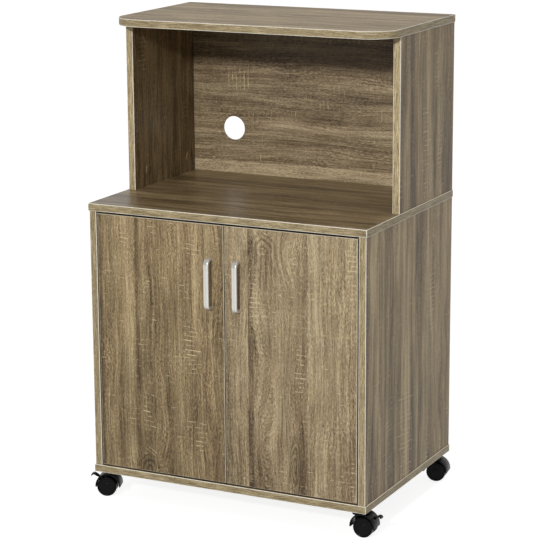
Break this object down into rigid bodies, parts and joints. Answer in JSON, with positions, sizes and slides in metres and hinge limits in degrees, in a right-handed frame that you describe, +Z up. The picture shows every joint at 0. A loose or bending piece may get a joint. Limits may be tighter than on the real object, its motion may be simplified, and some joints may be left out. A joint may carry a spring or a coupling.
{
  "type": "microwave cart",
  "caption": "Wood-print microwave cart: an open hutch with a back panel over a worktop, a cabinet with hinged doors below, on swivel casters.",
  "frame": {"origin": "centre of the overall box, on the floor under the casters", "axes": "+X to the right as seen from the front, +Y to the rear, +Z up"},
  "size_m": [0.6405, 0.4466, 0.962],
  "materials": {
    "taupe_board": "taupe oak print on particle board, fine matt grain",
    "brown_board": "brown oak print on particle board, fine matt grain",
    "tan_board": "tan oak print on particle board with saw marks, fine matt grain",
    "back_board": "printed hardboard",
    "edge_band": "olive tan printed plastic strip",
    "steel": "zinc plated",
    "satin_handle": "satin silver",
    "black_plastic": "satin black",
    "dowel": "plain beech"
  },
  "bodies": {
    "cart": {"top_panel": "taupe_board", "worktop": "brown_board", "bottom_panel": "brown_board", "left_side_panel": "taupe_board", "right_side_panel": "taupe_board", "left_hutch_side": "taupe_board", "right_hutch_side": "taupe_board", "hutch_back": "back_board", "cabinet_back": "back_board", "shelf": "taupe_board", "panel_edge_bands": "edge_band", "front_edge_bands": "edge_band", "shelf_pins": "steel", "cam_locks": "steel", "cam_bolts": "steel", "dowels": "dowel", "cam_covers": "taupe_board", "left_hinge_arms": "steel", "right_hinge_arms": "steel", "hinge_plates": "steel", "hinge_plate_screws": "steel", "caster_plates": "steel", "caster_screws": "steel"},
    "left_door": {"left_door": "tan_board", "left_door_edge_band": "edge_band", "left_handle": "satin_handle", "left_handle_screws": "steel", "left_lower_hinge_cup": "steel", "left_upper_hinge_cup": "steel", "left_hinge_pins": "steel", "left_cup_screws": "steel"},
    "right_door": {"right_door": "tan_board", "right_door_edge_band": "edge_band", "right_handle": "satin_handle", "right_handle_screws": "steel", "right_lower_hinge_cup": "steel", "right_upper_hinge_cup": "steel", "right_hinge_pins": "steel", "right_cup_screws": "steel"},
    "front_left_caster": {"front_left_caster_hood": "black_plastic", "front_left_axle": "steel", "front_left_brake_pin": "steel"},
    "front_left_fore_wheel": {"front_left_fore_wheel": "black_plastic"},
    "front_left_aft_wheel": {"front_left_aft_wheel": "black_plastic"},
    "front_left_brake_lever": {"front_left_brake_lever": "black_plastic"},
    "front_right_caster": {"front_right_caster_hood": "black_plastic", "front_right_axle": "steel", "front_right_brake_pin": "steel"},
    "front_right_fore_wheel": {"front_right_fore_wheel": "black_plastic"},
    "front_right_aft_wheel": {"front_right_aft_wheel": "black_plastic"},
    "front_right_brake_lever": {"front_right_brake_lever": "black_plastic"},
    "rear_left_caster": {"rear_left_caster_hood": "black_plastic", "rear_left_axle": "steel"},
    "rear_left_fore_wheel": {"rear_left_fore_wheel": "black_plastic"},
    "rear_left_aft_wheel": {"rear_left_aft_wheel": "black_plastic"},
    "rear_right_caster": {"rear_right_caster_hood": "black_plastic", "rear_right_axle": "steel"},
    "rear_right_fore_wheel": {"rear_right_fore_wheel": "black_plastic"},
    "rear_right_aft_wheel": {"rear_right_aft_wheel": "black_plastic"}
  },
  "joints": [
    {"name": "left_door_hinge", "type": "hinge", "parent": "cart", "child": "left_door", "pos_m": [-0.2685, -0.19835, 0.331], "axis": [0, 0, -1], "range_deg": [0, 95]},
    {"name": "right_door_hinge", "type": "hinge", "parent": "cart", "child": "right_door", "pos_m": [0.2685, -0.19835, 0.331], "axis": [0, 0, 1], "range_deg": [0, 95]},
    {"name": "front_left_caster_swivel", "type": "hinge", "parent": "cart", "child": "front_left_caster", "pos_m": [-0.27, -0.17475, 0.047], "axis": [0, 0, 1], "continuous": true},
    {"name": "front_left_fore_wheel_spin", "type": "hinge", "parent": "front_left_caster", "child": "front_left_fore_wheel", "pos_m": [-0.28508, -0.18009, 0.02], "axis": [0.3338, -0.9426, 0], "continuous": true},
    {"name": "front_left_aft_wheel_spin", "type": "hinge", "parent": "front_left_caster", "child": "front_left_aft_wheel", "pos_m": [-0.28508, -0.18009, 0.02], "axis": [0.3338, -0.9426, 0], "continuous": true},
    {"name": "front_left_brake_lever_press", "type": "hinge", "parent": "front_left_caster", "child": "front_left_brake_lever", "pos_m": [-0.29734, -0.18443, 0.034], "axis": [0.3338, -0.9426, 0], "range_deg": [0, 12]},
    {"name": "front_right_caster_swivel", "type": "hinge", "parent": "cart", "child": "front_right_caster", "pos_m": [0.27, -0.17475, 0.047], "axis": [0, 0, 1], "continuous": true},
    {"name": "front_right_fore_wheel_spin", "type": "hinge", "parent": "front_right_caster", "child": "front_right_fore_wheel", "pos_m": [0.28599, -0.17419, 0.02], "axis": [-0.0349, 0.9994, 0], "continuous": true},
    {"name": "front_right_aft_wheel_spin", "type": "hinge", "parent": "front_right_caster", "child": "front_right_aft_wheel", "pos_m": [0.28599, -0.17419, 0.02], "axis": [-0.0349, 0.9994, 0], "continuous": true},
    {"name": "front_right_brake_lever_press", "type": "hinge", "parent": "front_right_caster", "child": "front_right_brake_lever", "pos_m": [0.29898, -0.17374, 0.034], "axis": [-0.0349, 0.9994, 0], "range_deg": [0, 12]},
    {"name": "rear_left_caster_swivel", "type": "hinge", "parent": "cart", "child": "rear_left_caster", "pos_m": [-0.27, 0.19125, 0.047], "axis": [0, 0, 1], "continuous": true},
    {"name": "rear_left_fore_wheel_spin", "type": "hinge", "parent": "rear_left_caster", "child": "rear_left_fore_wheel", "pos_m": [-0.28584, 0.19348, 0.02], "axis": [-0.1392, -0.9903, 0], "continuous": true},
    {"name": "rear_left_aft_wheel_spin", "type": "hinge", "parent": "rear_left_caster", "child": "rear_left_aft_wheel", "pos_m": [-0.28584, 0.19348, 0.02], "axis": [-0.1392, -0.9903, 0], "continuous": true},
    {"name": "rear_right_caster_swivel", "type": "hinge", "parent": "cart", "child": "rear_right_caster", "pos_m": [0.27, 0.19125, 0.047], "axis": [0, 0, 1], "continuous": true},
    {"name": "rear_right_fore_wheel_spin", "type": "hinge", "parent": "rear_right_caster", "child": "rear_right_fore_wheel", "pos_m": [0.28584, 0.19348, 0.02], "axis": [-0.1392, 0.9903, 0], "continuous": true},
    {"name": "rear_right_aft_wheel_spin", "type": "hinge", "parent": "rear_right_caster", "child": "rear_right_aft_wheel", "pos_m": [0.28584, 0.19348, 0.02], "axis": [-0.1392, 0.9903, 0], "continuous": true}
  ]
}
